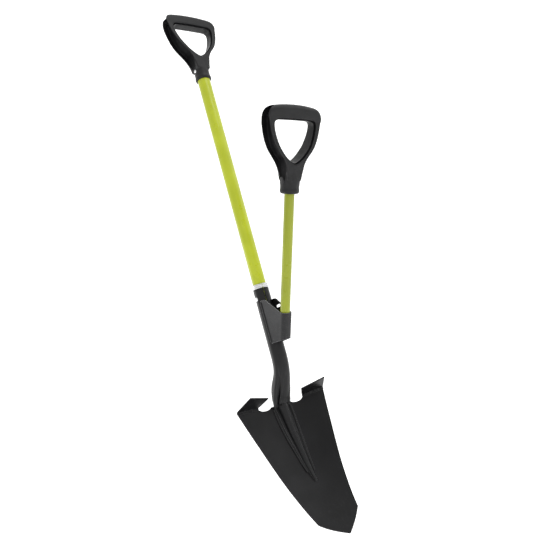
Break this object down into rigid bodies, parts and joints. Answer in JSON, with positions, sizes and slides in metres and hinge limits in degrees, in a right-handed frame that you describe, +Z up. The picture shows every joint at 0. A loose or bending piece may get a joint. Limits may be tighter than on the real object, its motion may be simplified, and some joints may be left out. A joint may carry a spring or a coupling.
{
  "type": "garden spade",
  "caption": "Long-handled digging spade with a tapering pointed blade, folded foot steps, a D-grip and a second D-grip handle hinged low on the socket and sprung forward.",
  "frame": {"origin": "under the middle of the main grip's crossbar, where the spade hangs from a peg", "axes": "+Z up along the main shaft, from the blade to the main grip; -Y is the front, the side of the second handle and of the blade's hollow face; X is the width"},
  "size_m": [0.2376, 0.3195, 1.2149],
  "materials": {
    "blade_steel": "satin black paint over pressed steel, scuffed at the edge",
    "socket_steel": "satin black paint",
    "main_shaft_paint": "semi-gloss lime green enamel",
    "ferrule_zinc": "bright turned band",
    "rivet_zinc": "bright domed heads",
    "grip_plastic": "fine-textured moulded black plastic",
    "bracket_steel": "satin black paint",
    "weld_steel": "painted weld bead",
    "pin_steel": "painted with the bracket",
    "spring_steel": "oil-blackened spring wire",
    "lever_tube_paint": "semi-gloss lime green enamel",
    "lever_foot_steel": "satin black paint",
    "sleeve_zinc": "plain plated sleeve",
    "adapter_plastic": "plain moulded plastic"
  },
  "bodies": {
    "spade_frame": {"blade": "blade_steel", "socket": "socket_steel", "main_shaft": "main_shaft_paint", "ferrule": "ferrule_zinc", "socket_rivet_left": "rivet_zinc", "socket_rivet_right": "rivet_zinc", "main_grip": "grip_plastic", "main_grip_rivet": "rivet_zinc", "bracket": "bracket_steel", "bracket_weld_left": "weld_steel", "bracket_weld_right": "weld_steel", "tang_weld_left": "weld_steel", "tang_weld_right": "weld_steel", "pivot_pin": "pin_steel", "torsion_spring": "spring_steel"},
    "second_handle": {"lever_tube": "lever_tube_paint", "lever_foot": "lever_foot_steel", "pivot_sleeve": "sleeve_zinc", "lever_grip": "grip_plastic", "lever_grip_rivet": "rivet_zinc", "lever_grip_adapter": "adapter_plastic"}
  },
  "joints": [
    {"name": "second_handle_fold", "type": "hinge", "parent": "spade_frame", "child": "second_handle", "pos_m": [0, -0.04345, -0.76529], "axis": [-1, 0, 0], "range_deg": [0, 26], "stiffness_Nm_per_rad": 0.6, "springref_deg": -68.75, "deforming": ["torsion_spring"]}
  ]
}
